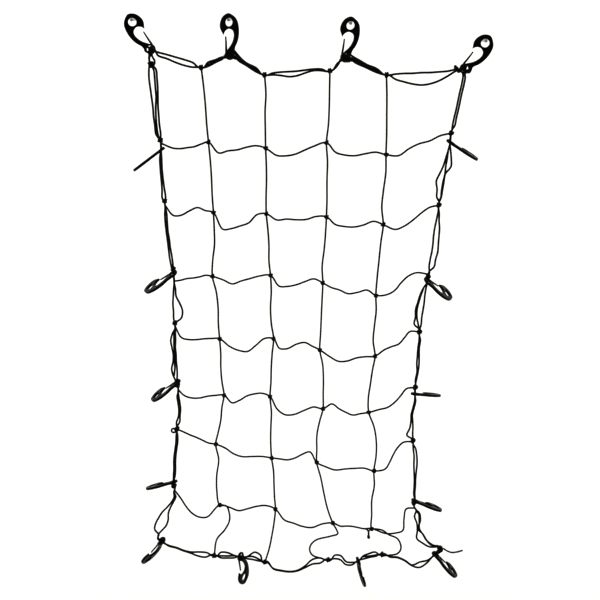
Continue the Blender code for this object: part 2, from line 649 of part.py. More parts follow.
border = build_border()
net = build_net()
tail_path = [place("H3") + Vector(step) for step in TAIL_ROUTE]
tail = tube("border_tail", thinned(spline(tail_path), 0.15), BORDER_CORD_R, parts, bevel_resolution=2)
for cord in (border, net, tail):
    cord.parent = hang
    finish(cord, "black_braid")
for cutter in bpy.data.collections["border_bores"].objects:
    cutter.parent = hang
    cutter.hide_render = True
    cutter.display_type = "WIRE"
build_hooks()
build_pins()
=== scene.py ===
import math

import bpy
from mathutils import Euler, Matrix, Vector


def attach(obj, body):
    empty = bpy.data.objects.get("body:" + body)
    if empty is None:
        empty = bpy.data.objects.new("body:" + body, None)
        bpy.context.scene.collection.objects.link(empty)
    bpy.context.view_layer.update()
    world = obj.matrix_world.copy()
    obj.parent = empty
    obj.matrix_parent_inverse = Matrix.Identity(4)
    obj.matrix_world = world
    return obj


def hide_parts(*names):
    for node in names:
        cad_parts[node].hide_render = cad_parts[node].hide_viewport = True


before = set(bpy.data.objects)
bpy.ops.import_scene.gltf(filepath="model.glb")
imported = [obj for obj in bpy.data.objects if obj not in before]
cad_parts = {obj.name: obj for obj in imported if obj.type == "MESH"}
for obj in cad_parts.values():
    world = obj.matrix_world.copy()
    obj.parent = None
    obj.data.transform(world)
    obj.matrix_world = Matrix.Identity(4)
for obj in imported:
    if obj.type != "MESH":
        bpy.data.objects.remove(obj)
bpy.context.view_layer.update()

# A cargo net of knotted black cord, hung on four wall pins by the snap hooks of its top edge.
# Metres, +Z up. The wall is the plane y = 0 and the origin is where the second pin leaves it.
# The tables are in millimetres in the net's own plane, x to the right and z up, and steps forward
# from it are negative.

mm = 0.001
scene = bpy.context.scene


def linear(hexColour):
    # An sRGB hex colour in linear light, opaque.
    parts = [int(hexColour[i : i + 2], 16) / 255 for i in (1, 3, 5)]
    return (*(c / 12.92 if c <= 0.04045 else ((c + 0.055) / 1.055) ** 2.4 for c in parts), 1.0)


def addNode(tree, kind, inputs=None, **settings):
    node = tree.nodes.new(kind)
    for name, value in settings.items():
        setattr(node, name, value)
    for name, value in (inputs or {}).items():
        if isinstance(value, bpy.types.NodeSocket):
            tree.links.new(value, node.inputs[name])
        else:
            node.inputs[name].default_value = value
    return node


def newMaterial(name, colour, **constants):
    made = bpy.data.materials.new(name)
    made.use_nodes = True
    tree = made.node_tree
    shader = tree.nodes["Principled BSDF"]
    shader.inputs["Base Color"].default_value = linear(colour)
    for socket, value in constants.items():
        shader.inputs[socket.replace("_", " ")].default_value = value
    return made, tree, shader


braidLook = {
    "sheath": "#0b0b0c",
    "worn": "#17171a",
    "strands": 4,  # ridges each way round the cord, half of a real sheath's so that they show
    "pitch": 0.0105,  # length of one full turn of a strand
    "relief": 0.00022,
    "rubs": 1 / 28,  # length of a rubbed patch, about 36 mm
}


def makeBraid():
    # Braided polypropylene sheath: a dull black with small diamonds that catch a little light.
    made, tree, shader = newMaterial(
        "braidedPolypropylene", braidLook["sheath"], Roughness=0.72, IOR=1.49, Specular_IOR_Level=0.22
    )
    strands = braidLook["strands"]
    cordPlace = addNode(tree, "ShaderNodeAttribute", attribute_name="cordPlace")
    parts = addNode(tree, "ShaderNodeSeparateXYZ", {0: cordPlace.outputs["Vector"]})
    right, up, length = parts.outputs
    around = addNode(tree, "ShaderNodeMath", {0: up, 1: right}, operation="ARCTAN2")
    turns = addNode(tree, "ShaderNodeMath", {0: around.outputs[0], 1: strands}, operation="MULTIPLY")
    waveNumber = 2 * math.pi / braidLook["pitch"] * strands
    along = addNode(tree, "ShaderNodeMath", {0: length, 1: waveNumber}, operation="MULTIPLY")
    ridges = []
    for way in ("ADD", "SUBTRACT"):
        phase = addNode(tree, "ShaderNodeMath", {0: turns.outputs[0], 1: along.outputs[0]}, operation=way)
        half = addNode(tree, "ShaderNodeMath", {0: phase.outputs[0], 1: 0.5}, operation="MULTIPLY")
        ridge = addNode(tree, "ShaderNodeMath", {0: half.outputs[0]}, operation="SINE")
        ridges.append(ridge.outputs[0])
    crossing = addNode(tree, "ShaderNodeMath", {0: ridges[0], 1: ridges[1]}, operation="MULTIPLY")
    raised = addNode(tree, "ShaderNodeMath", {0: crossing.outputs[0]}, operation="ABSOLUTE")
    rounded = addNode(tree, "ShaderNodeMath", {0: raised.outputs[0], 1: 0.5}, operation="POWER")
    bump = addNode(
        tree,
        "ShaderNodeBump",
        {"Height": rounded.outputs[0], "Strength": 0.8, "Distance": braidLook["relief"]},
    )
    # Fibres are rubbed on the high strands, here and there.
    objectPlace = addNode(tree, "ShaderNodeTexCoord").outputs["Object"]
    patches = addNode(
        tree, "ShaderNodeTexNoise", {"Vector": objectPlace, "Scale": 1 / braidLook["rubs"], "Detail": 4.0}
    )
    rub = addNode(
        tree, "ShaderNodeMath", {0: patches.outputs[0], 1: rounded.outputs[0]}, operation="MULTIPLY"
    )
    wear = addNode(tree, "ShaderNodeMapRange", {0: rub.outputs[0], 1: 0.3, 2: 0.75})
    tint = addNode(
        tree,
        "ShaderNodeMix",
        {0: wear.outputs[0], 6: linear(braidLook["sheath"]), 7: linear(braidLook["worn"])},
        data_type="RGBA",
    )
    tree.links.new(tint.outputs[2], shader.inputs["Base Color"])
    tree.links.new(bump.outputs[0], shader.inputs["Normal"])
    return made


nylonLook = {
    "moulded": "#060607",
    "scuffed": "#151517",
    "grain": 0.0009,  # the mould's spark texture, coarser than the real 0.1 mm so that it shows
    "grainDeep": 0.00006,
    "scuffs": 0.012,  # length of a rubbed patch
}


def makeNylon():
    # Injection-moulded nylon: half matt, with a fine mould grain and dull grey rubs on the high spots.
    made, tree, shader = newMaterial(
        "mouldedNylon", nylonLook["moulded"], Roughness=0.36, IOR=1.53, Specular_IOR_Level=0.1
    )
    objectPlace = addNode(tree, "ShaderNodeTexCoord").outputs["Object"]
    grain = addNode(
        tree, "ShaderNodeTexNoise", {"Vector": objectPlace, "Scale": 1 / nylonLook["grain"], "Detail": 2.0}
    )
    scuffs = addNode(
        tree,
        "ShaderNodeTexNoise",
        {"Vector": objectPlace, "Scale": 1 / nylonLook["scuffs"], "Detail": 5.0, "Roughness": 0.65},
    )
    rubbed = addNode(tree, "ShaderNodeMapRange", {0: scuffs.outputs[0], 1: 0.56, 2: 0.74})
    tint = addNode(
        tree,
        "ShaderNodeMix",
        {0: rubbed.outputs[0], 6: linear(nylonLook["moulded"]), 7: linear(nylonLook["scuffed"])},
        data_type="RGBA",
    )
    dull = addNode(tree, "ShaderNodeMapRange", {0: scuffs.outputs[0], 1: 0.3, 2: 0.75, 3: 0.3, 4: 0.5})
    bump = addNode(
        tree,
        "ShaderNodeBump",
        {"Height": grain.outputs[0], "Strength": 0.25, "Distance": nylonLook["grainDeep"]},
    )
    tree.links.new(tint.outputs[2], shader.inputs["Base Color"])
    tree.links.new(dull.outputs[0], shader.inputs["Roughness"])
    tree.links.new(bump.outputs[0], shader.inputs["Normal"])
    return made


steelLook = {
    "plating": "#c6c8cb",
    "dulled": "#a3a5a8",
    "patches": 1 / 260,  # length of a dull patch, about 4 mm
    "drawing": 0.0006,  # between the die's lines, coarser than the real ones so that they show
    "drawingDeep": 0.00003,
}


def makeSteel():
    # Zinc-plated drawn wire: a cool grey, brighter along the shank, dull in patches.
    made, tree, shader = newMaterial("zincPlatedSteel", steelLook["plating"], Metallic=0.8, Roughness=0.38)
    objectPlace = addNode(tree, "ShaderNodeTexCoord").outputs["Object"]
    stretched = addNode(tree, "ShaderNodeMapping", {"Vector": objectPlace, "Scale": (1.0, 0.06, 1.0)})
    lines = addNode(
        tree,
        "ShaderNodeTexNoise",
        {"Vector": stretched.outputs[0], "Scale": 1 / steelLook["drawing"], "Detail": 3.0},
    )
    patches = addNode(
        tree, "ShaderNodeTexNoise", {"Vector": objectPlace, "Scale": 1 / steelLook["patches"], "Detail": 3.0}
    )
    tint = addNode(
        tree,
        "ShaderNodeMix",
        {0: patches.outputs[0], 6: linear(steelLook["plating"]), 7: linear(steelLook["dulled"])},
        data_type="RGBA",
    )
    rough = addNode(tree, "ShaderNodeMapRange", {0: patches.outputs[0], 1: 0.3, 2: 0.7, 3: 0.3, 4: 0.5})
    bump = addNode(
        tree,
        "ShaderNodeBump",
        {"Height": lines.outputs[0], "Strength": 0.2, "Distance": steelLook["drawingDeep"]},
    )
    tree.links.new(tint.outputs[2], shader.inputs["Base Color"])
    tree.links.new(rough.outputs[0], shader.inputs["Roughness"])
    tree.links.new(bump.outputs[0], shader.inputs["Normal"])
    return made


braid = makeBraid()
nylon = makeNylon()
steel = makeSteel()
print("materials made")


def spline(points, steps, closed=False):
    # A smooth line through the points, with the steps between each two of them.
    ends = [2 * points[0] - points[1], *points, 2 * points[-1] - points[-2]]
    if closed:
        ends = [points[-1], *points, points[0], points[1]]
    path = []
    for a, b, c, d in zip(ends, ends[1:], ends[2:], ends[3:]):
        # The tiny length keeps two equal points from dividing by nothing.
        before, here, after = ((q - p).length ** 0.5 + 1e-6 for p, q in ((a, b), (b, c), (c, d)))
        slopeB = (c - b) + here * ((b - a) / before - (c - a) / (before + here))
        slopeC = (c - b) + here * ((d - c) / after - (d - b) / (here + after))
        for step in range(steps):
            t = step / steps
            path.append(
                (2 * t**3 - 3 * t**2 + 1) * b
                + (t**3 - 2 * t**2 + t) * slopeB
                + (3 * t**2 - 2 * t**3) * c
                + (t**3 - t**2) * slopeC
            )
    return path if closed else path + [points[-1]]


def bowed(start, end, bends):
    # Points at even steps of the way from start to end, each moved to its right.
    way = end - start
    right = Vector((way.z, 0.0, -way.x)).normalized()
    share = 1.0 / (len(bends) + 1)
    return [start + way * share * (i + 1) + right * bend for i, bend in enumerate(bends)]


def standing(axis):
    # The turn that stands the local Z along the axis.
    return Vector((0, 0, 1)).rotation_difference(axis).to_matrix()


def circle(radius, centre, sides):
    turns = [2 * math.pi * (i + 0.5) / sides for i in range(sides)]
    return [(centre[0] + radius * math.cos(t), centre[1] + radius * math.sin(t)) for t in turns]


# The stations of the border: (x, z) of each join with the net, hitch (H) and hook eye. A join is
# named by cross cord (0 the top edge, 8 the lower edge) and upright (0 the left, 5 the right).
stations = {
    "T1": (-142, -52), "J01": (-51, -84), "T2": (1.5, -61.5), "J02": (64, -97), "J03": (183, -90),
    "T3": (211, -66), "J04": (286, -97), "T4": (428.1, -86.2),
    "J15": (408.5, -202), "R1": (407, -218.5), "J25": (391, -336), "J35": (377, -470.5),
    "R2": (375.5, -484), "J45": (363, -586.5), "J55": (358.5, -702), "R3": (358, -716),
    "J65": (357.5, -818.5), "R4": (366, -951), "J75": (366.5, -967), "H3": (422, -1061),
    "BR": (412, -1074),
    "BL": (-160, -1044), "J81": (-51.5, -1077), "B2": (4, -1079), "J82": (55, -1092),
    "J83": (188, -1087), "B3": (251, -1089.5), "J84": (301.5, -1074.5),
    "H1": (-144.5, -71), "J10": (-130, -220), "L1": (-130, -233), "J20": (-126.5, -336),
    "L2": (-115.5, -469), "J30": (-114.5, -484), "J40": (-116, -574), "L3": (-116.5, -692),
    "J50": (-114.5, -706.5), "J60": (-120, -791), "L4": (-130.5, -908), "J70": (-129.5, -926),
    "H2": (-167, -1032),
}


def place(station, layer=0.0):
    x, z = stations[station]
    return Vector((x, layer, z))


# Snap hooks: station of the eye, the turns in degrees, and how far the eye hangs out along the hook
# until its edge rests on the cord. Swing turns the hook clockwise from straight up, lean brings
# its head forward, and roll turns it about its own length.
hooks = {
    "top_1": ("T1", -29.5, -4, 13, 0),
    "top_2": ("T2", -3.5, 8, -150, 0),
    "top_3": ("T3", 4, 12, -170, 0),
    "top_4": ("T4", 32, 12, 176, 0),
    "left_1": ("L1", -126, -22, 90, 1.3),
    "left_2": ("L2", -122, -16, 72, 1.3),
    "left_3": ("L3", -127, -19, 79, 0.7),
    "left_4": ("L4", -116, -28, 106, 2.0),
    "right_1": ("R1", 120, -28, 97, 2.4),
    "right_2": ("R2", 125.5, -27, 112, 0),
    "right_3": ("R3", 111, -42, 70, 2.2),
    "right_4": ("R4", 120.5, -26, 78, 1.8),
    "bottom_1": ("BL", -142, -7, -57, 1.7),
    "bottom_2": ("B2", 177, -7, -58, 0.3),
    "bottom_3": ("B3", 167.5, -11, -103, 1.3),
    "bottom_4": ("BR", 138, -10, 97, 3.6),
}
hookSizes = {
    "thick": 5.0,
    "edge": 1.3,  # the moulding's rounded edges
    "curveSteps": 6,
    "eye": 6.4,
    "eyeSides": 28,
    "rim": 9.6,
    "headHole": 7.5,
    "headHoleSides": 32,
    "headHoleAcross": -4.0,
    "headHoleAlong": 56.2,
    "tongueThick": 2.6,
    "tongueEdge": 0.7,
    "tongueSteps": 5,
    "tongueGap": 0.9,  # how far its tip stops short of its drawn place
    "tongueSunk": 3.0,  # how deep its root goes into the body
    "tongueBows": (0.3, 0.2),  # how far its inner and outer side bow out
}
pinSizes = {
    "shank": 2.3,
    "head": 3.0,
    "headLong": 2.5,
    "neck": 0.3,
    "stickOut": 1.5,  # how far the shank shows in front of the hook
    "topGap": 1.0,  # between the shank and the top of the head hole
    "sides": 28,
}
hanging = {
    "wallGap": 34.0,  # wall to the net's plane, at the pins
    "leanOut": 2.0,  # degrees that the foot hangs out from the wall
}


def hookTurn(name):
    _, swing, lean, roll, _ = hooks[name]
    turns = [math.radians(angle) for angle in (lean, swing, roll)]
    return Euler(turns, "ZXY").to_matrix()


def hookPoint(name, across, along):
    station, _, _, _, slip = hooks[name]
    return place(station) + hookTurn(name) @ Vector((across, 0, along + slip))


standUp = Matrix.Rotation(math.radians(90), 4, "X")  # from a drawing on the floor to the wall
tilt = Matrix.Rotation(math.radians(-hanging["leanOut"]), 4, "X")
hang = Matrix.Translation((0, -hanging["wallGap"] * mm, 0)) @ tilt


def hung(point):
    return hang @ (point * mm)


def pinPlace(number):
    where = hung(hookPoint(f"top_{number}", hookSizes["headHoleAcross"], hookSizes["headHoleAlong"]))
    where.z += (hookSizes["headHole"] - pinSizes["shank"] - pinSizes["topGap"]) * mm
    return where


# The second pin stands at the origin.
secondPin = pinPlace(2)
hang = Matrix.Translation((-secondPin.x, 0, -secondPin.z)) @ hang
print("net hung")


def newTree(name, *sockets):
    tree = bpy.data.node_groups.new(name, "GeometryNodeTree")
    for label, kind in (("Geometry", "Geometry"), *sockets):
        tree.interface.new_socket(label, in_out="INPUT", socket_type="NodeSocket" + kind)
    tree.interface.new_socket("Geometry", in_out="OUTPUT", socket_type="NodeSocketGeometry")
    return tree, addNode(tree, "NodeGroupInput"), addNode(tree, "NodeGroupOutput")


def makeSheathTree():
    # Sweeps a round cord along every curve, and keeps each point's place on it for the braid.
    tree, given, result = newTree(
        "sheathAlongCurve", ("Radius", "Float"), ("Step", "Float"), ("Sides", "Int"), ("Sheath", "Material")
    )
    even = addNode(
        tree,
        "GeometryNodeResampleCurve",
        {"Curve": given.outputs["Geometry"], "Length": given.outputs["Step"]},
        mode="LENGTH",
    )
    lengthWay = addNode(tree, "GeometryNodeSplineParameter")
    kept = addNode(tree, "GeometryNodeCaptureAttribute")
    kept.capture_items.new("FLOAT", "along")
    tree.links.new(even.outputs[0], kept.inputs[0])
    tree.links.new(lengthWay.outputs["Length"], kept.inputs[1])
    ringCurve = addNode(
        tree,
        "GeometryNodeCurvePrimitiveCircle",
        {"Resolution": given.outputs["Sides"], "Radius": given.outputs["Radius"]},
    )
    corner = addNode(tree, "GeometryNodeInputPosition")
    keptRing = addNode(tree, "GeometryNodeCaptureAttribute")
    keptRing.capture_items.new("VECTOR", "corner")
    tree.links.new(ringCurve.outputs["Curve"], keptRing.inputs[0])
    tree.links.new(corner.outputs[0], keptRing.inputs[1])
    tube = addNode(
        tree,
        "GeometryNodeCurveToMesh",
        {"Curve": kept.outputs[0], "Profile Curve": keptRing.outputs[0], "Fill Caps": True},
    )
    split = addNode(tree, "ShaderNodeSeparateXYZ", {0: keptRing.outputs[1]})
    joined = addNode(
        tree, "ShaderNodeCombineXYZ", {0: split.outputs[0], 1: split.outputs[1], 2: kept.outputs[1]}
    )
    stored = addNode(
        tree,
        "GeometryNodeStoreNamedAttribute",
        {"Geometry": tube.outputs[0], "Name": "cordPlace", "Value": joined.outputs[0]},
        data_type="FLOAT_VECTOR",
        domain="POINT",
    )
    smooth = addNode(tree, "GeometryNodeSetShadeSmooth", {"Geometry": stored.outputs[0]})
    real = addNode(tree, "GeometryNodeRealizeInstances", {0: smooth.outputs[0]})
    dressed = addNode(
        tree, "GeometryNodeSetMaterial", {"Geometry": real.outputs[0], "Material": given.outputs["Sheath"]}
    )
    tree.links.new(dressed.outputs[0], result.inputs[0])
    return tree


sheathTree = makeSheathTree()


def makeKnotTree():
    # Puts one wound knot on every point, turned as the point's attribute says and a little unevenly.
    tree, given, result = newTree(
        "knotOnPoints", ("Knot", "Object"), ("Radius", "Float"), ("Step", "Float"), ("Sides", "Int"),
        ("Sheath", "Material"), ("Unevenness", "Float"), ("Seed", "Int"),
    )
    tied = addNode(
        tree, "GeometryNodeObjectInfo", {"Object": given.outputs["Knot"]}, transform_space="ORIGINAL"
    )
    cord = addNode(tree, "GeometryNodeGroup", node_tree=sheathTree)
    tree.links.new(tied.outputs["Geometry"], cord.inputs["Geometry"])
    for label in ("Radius", "Step", "Sides", "Sheath"):
        tree.links.new(given.outputs[label], cord.inputs[label])
    turn = addNode(tree, "GeometryNodeInputNamedAttribute", {"Name": "turn"}, data_type="FLOAT_VECTOR")
    put = addNode(
        tree,
        "GeometryNodeInstanceOnPoints",
        {"Points": given.outputs["Geometry"], "Instance": cord.outputs[0], "Rotation": turn.outputs[0]},
    )
    back = addNode(tree, "ShaderNodeMath", {0: given.outputs["Unevenness"], 1: -1.0}, operation="MULTIPLY")
    spread = addNode(
        tree,
        "FunctionNodeRandomValue",
        {2: back.outputs[0], 3: given.outputs["Unevenness"], 8: given.outputs["Seed"]},
        data_type="FLOAT",
    )
    twist = addNode(tree, "ShaderNodeCombineXYZ", {2: spread.outputs[1]})
    twisted = addNode(
        tree, "GeometryNodeRotateInstances", {"Instances": put.outputs[0], "Rotation": twist.outputs[0]}
    )
    real = addNode(tree, "GeometryNodeRealizeInstances", {0: twisted.outputs[0]})
    dressed = addNode(
        tree, "GeometryNodeSetMaterial", {"Geometry": real.outputs[0], "Material": given.outputs["Sheath"]}
    )
    tree.links.new(dressed.outputs[0], result.inputs[0])
    return tree


knotTree = makeKnotTree()
print("node trees made")


def newObject(name, data):
    made = bpy.data.objects.new(name, data)
    scene.collection.objects.link(made)
    return made


def bakedMesh(source):
    # The plain mesh that the source object comes to; the object itself goes.
    graph = bpy.context.evaluated_depsgraph_get()
    mesh = bpy.data.meshes.new_from_object(source.evaluated_get(graph), depsgraph=graph)
    bpy.data.objects.remove(source)
    return mesh


def bakedObject(name, source, tree, values):
    # Runs a tree on the source object and keeps the result as a plain mesh object.
    modifier = source.modifiers.new(tree.name, "NODES")
    modifier.node_group = tree
    for item in tree.interface.items_tree:
        if item.in_out == "INPUT" and item.name in values:
            modifier[item.identifier] = values[item.name]
    mesh = bakedMesh(source)
    mesh.name = name
    return newObject(name, mesh)


def curveObject(name, paths):
    # One object of open or closed lines: paths is (points in metres, closed).
    curve = bpy.data.curves.new(name, "CURVE")
    curve.dimensions = "3D"
    for points, closed in paths:
        line = curve.splines.new("POLY")
        line.points.add(len(points) - 1)
        for spot, where in zip(line.points, points):
            spot.co = (*where, 1.0)
        line.use_cyclic_u = closed
    return newObject(name, curve)


def swept(name, paths, sizes):
    values = {
        "Radius": sizes["radius"] * mm,
        "Step": sizes["step"] * mm,
        "Sides": sizes["sides"],
        "Sheath": braid,
    }
    return bakedObject(name, curveObject(name + "Guide", paths), sheathTree, values)


def dress(piece, node):
    for polygon in piece.data.polygons:
        polygon.use_smooth = True
    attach(piece, "root")
    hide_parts(node)
    return piece


def makeCords(name, paths, sizes, node):
    # One piece of open or closed cords: paths is (points of the table, closed).
    hungPaths = [([hung(point) for point in points], closed) for points, closed in paths]
    dress(swept(name, hungPaths, sizes), node)


meshCord = {
    "radius": 1.7,
    "step": 1.6,
    "sides": 12,
    "curveSteps": 10,
    "endSteps": 6,
    "footLayer": 5.6,  # how far the feet that cross other cords hang in front of the net's plane
    "footTuck": 0.93,  # the share of it that is left where they meet the lower edge
}
knotShift = Vector((0.7, 0.0, -2.3))  # from a knot's table place to the middle of its turns

# Knots, a line for each cross cord from the top: (x, z) at upright 1 to upright 4.
knots = {
    1: ((-42, -216), (64, -227), (177, -217), (288, -239)),
    2: ((-36, -348), (64, -350), (178, -356), (286, -371)),
    3: ((-41, -472), (71, -470), (172, -485), (275, -510)),
    4: ((-30, -598), (76, -598), (167, -621), (276, -634)),
    5: ((-24, -716), (68, -719), (174, -745), (266, -753)),
    6: ((-43, -822), (70, -852), (162, -862), (279, -881)),
    7: ((-38, -958), (77, -967), (196, -999), (277, -1012)),
}
lowestKnots = knots[7]

# Where a cross cord runs between two knots: cross cord, bay from the left, how far right and up it
# leaves the left knot and meets the right one, and how far it sags at five even steps.
crossSpans = (
    (1, 0, (8, -7), (0, 0), (4, 7, 7, 7, 4)),
    (1, 1, (3, -4), (0, 0), (17, 12, 9, 3, -1)),
    (1, 2, (2, -4), (-7, -1), (14, 17, 16, 11, 6)),
    (1, 3, (2, -3), (0, 0), (14, 16, 14, 7, 1)),
    (1, 4, (2, -2), (0, 0), (9, 3, 0, 1, -2)),
    (2, 0, (2, -2), (0, 0), (16, 14, 4, -4, 0)),
    (2, 1, (1, -3), (0, -1), (31, 30, 25, 19, 3)),
    (2, 2, (2, -4), (0, 0), (10, 8, 9, 8, 2)),
    (2, 3, (1, -3), (0, 0), (12, 14, 13, 7, -2)),
    (2, 4, (1, -4), (0, 0), (15, 15, 10, 3, -2)),
    (3, 0, (1, 5), (0, 0), (4, 2, 2, 1, -1)),
    (3, 1, (3, -3), (-4, 0), (7, 16, 11, 7, 3)),
    (3, 2, (1, -7), (0, 4), (16, 16, 12, 5, -1)),
    (3, 3, (0, -5), (0, 0), (3, 5, 9, 3, -5)),
    (3, 4, (3, -2), (-2, -2), (6, 4, -6, -13, -13)),
    (4, 0, (1, -5), (0, 0), (16, 17, 14, 9, 5)),
    (4, 1, (2, -5), (0, 0), (14, 23, 26, 14, 1)),
    (4, 2, (1, -2), (0, 0), (17, 14, 1, -6, -2)),
    (4, 3, (4, -4), (0, 0), (11, 19, 17, 9, 5)),
    (4, 4, (5, 2), (0, 0), (-1, 0, 2, -4, -10)),
    (5, 0, (1, 9), (0, 0), (19, 21, 18, 11, 6)),
    (5, 1, (1, -5), (0, 0), (14, 9, 0, -4, -5)),
    (5, 2, (1, -6), (0, 0), (20, 29, 25, 13, 2)),
    (5, 3, (3, 4), (0, 0), (-6, 2, 8, 12, 7)),
    (5, 4, (3, -1), (0, 2), (5, 10, 8, 2, -5)),
    (6, 0, (3, 0), (0, 0), (2, 3, 3, 4, 5)),
    (6, 1, (2, -2), (0, 0), (4, 12, 14, 9, 4)),
    (6, 2, (3, -1), (2, 10), (4, 6, 2, -6, -11)),
    (6, 3, (2, -3), (0, 0), (7, 11, 6, 2, -1)),
    (6, 4, (4, -2), (0, 2), (10, 5, -3, -9, -10)),
    (7, 0, (0, -3), (0, 0), (11, 26, 37, 41, 36)),
    (7, 1, (3, 0), (0, 0), (6, 12, 6, -1, -4)),
    (7, 2, (2, -11), (0, 0), (13, 17, 21, 20, 8)),
    (7, 3, (5, -7), (-5, -10), (0, -3, -5, -5, -5)),
    (7, 4, (3, -2), (-5, 8), (25, 35, 39, 18, 1)),
)

# How far an upright bends to the right at a quarter, half and three quarters of each bay, from
# the top edge down.
uprightBends = {
    1: ((1, 1, 0), (1, 1, 0), (2, 3, 0), (4, 4, 1), (0, -2, -2), (0, 2, 1), (4, -2, -4)),
    2: ((2, 0, 0), (1, 1, 0), (1, 1, -1), (0, -3, -3), (-1, -1, 0), (2, 0, -1), (2, 1, 0)),
    3: ((1, 2, 2), (2, 1, 1), (0, -1, -3), (0, 0, 0), (4, 4, 2), (-4, -6, -3), (0, -2, -3)),
    4: ((1, 1, 1), (1, -2, -4), (-1, -1, -1), (1, -2, -4), (-2, -3, -4), (8, 10, 7), (2, -2, -1)),
}

# The slack lowest bay of each upright: steps (right, up) from its seventh knot.
uprightFeet = {
    1: ((14, -4), (20, -20), (20, -38), (10, -59), (-7, -81)),
    2: ((-2, -31), (-7, -63), (-13, -94)),
    3: (
        (9, -16), (11, -24), (-5, -30), (-33, -38),
        (-45, -50), (-47, -63), (-41, -74), (-18, -83),
    ),
    4: ((9, 0), (23, -3), (36, -13), (54, -22), (62, -38), (61, -50), (54, -58), (37, -61)),
}
feetInFront = (3, 4)  # the feet that cross other cords

# The short doubled end that hangs from the lowest knot of one upright: steps right, forward and up.
stubUpright = 4
stubRoutes = (
    ((0, -1, -3), (-5, -1, -7), (-5.6, -1.4, -14), (-3.9, -2, -23), (-6.4, -2, -23), (-6.2, -1.5, -16)),
    ((-14, -0.5, -1.5), (-8.5, -0.8, -4.5), (-5.4, -1.2, -10), (-5.4, -1.6, -17)),
)


def uprightPath(upright):
    path = [place(f"J0{upright}")]
    for row, bends in enumerate(uprightBends[upright], 1):
        x, z = knots[row][upright - 1]
        knot = Vector((x, 0, z)) + knotShift
        path += [*bowed(path[-1], knot, [-bend for bend in bends]), knot]
    x, z = lowestKnots[upright - 1]
    layer = -meshCord["footLayer"] if upright in feetInFront else 0.0
    path += [Vector((x + right, layer, z + up)) for right, up in uprightFeet[upright]]
    return path + [place(f"J8{upright}", layer * meshCord["footTuck"])]


def crossPath(row):
    stops = [place(f"J{row}0"), *(Vector((x, 0, z)) for x, z in knots[row]), place(f"J{row}5")]
    path = [stops[0]]
    for spanRow, bay, leave, meet, sags in crossSpans:
        if spanRow != row:
            continue
        start = stops[bay] + Vector((leave[0], 0, leave[1]))
        end = stops[bay + 1] + Vector((meet[0], 0, meet[1]))
        path += bowed(start, end, sags)
        if bay < len(knots[row]):
            path += [stops[bay + 1] + knotShift]
    return path + [stops[-1]]


def makeNetCords():
    steps, endSteps = meshCord["curveSteps"], meshCord["endSteps"]
    crosses = [(spline(crossPath(row), steps), False) for row in knots]
    uprights = [(spline(uprightPath(upright), steps), False) for upright in uprightBends]
    x, z = lowestKnots[stubUpright - 1]
    for route in stubRoutes:
        stub = [Vector((x + right, front, z + up)) for right, front, up in route]
        uprights.append((spline(stub, endSteps), False))
    makeCords("cross_cords", crosses, meshCord, "net")
    makeCords("upright_cords", uprights, meshCord, "net")


makeNetCords()
print("net cords made")

borderCord = {
    "radius": 1.85,
    "step": 1.6,
    "sides": 12,
    "curveSteps": 8,
    "endSteps": 6,
    "layer": 1.9,  # how far each pass lies in front of or behind the net's plane
    "besides": 2.6,  # the passes lie at least this far apart in the net's plane
    "straight": 5.0,  # how far they run straight on each side of a join
    "overRim": ((2.2, 3.7), (8.8, 5.6)),  # from the eye out along the cord, and off the hook's middle
    "edgeOn": 0.66,  # a cord that meets the hook this squarely runs straight through the eye
    "nearLevel": 0.3,  # a way across this near level is turned by its rise
    "thirdFromEye": 14,  # where a third pass leaves the front one
    "thirdFromJoin": 8,
    "thirdClear": 7,  # and how far its other points stay from its ends
}
borderSides = {
    "top": "T1 J01 T2 J02 J03 T3 J04 T4".split(),
    "right": "T4 J15 R1 J25 J35 R2 J45 J55 R3 J65 R4 J75 H3 BR".split(),
    "left": "T1 H1 J10 L1 J20 L2 J30 J40 L3 J50 J60 L4 J70 H2 BL".split(),
    "bottom": "BL J81 B2 J82 J83 B3 J84 BR".split(),
}

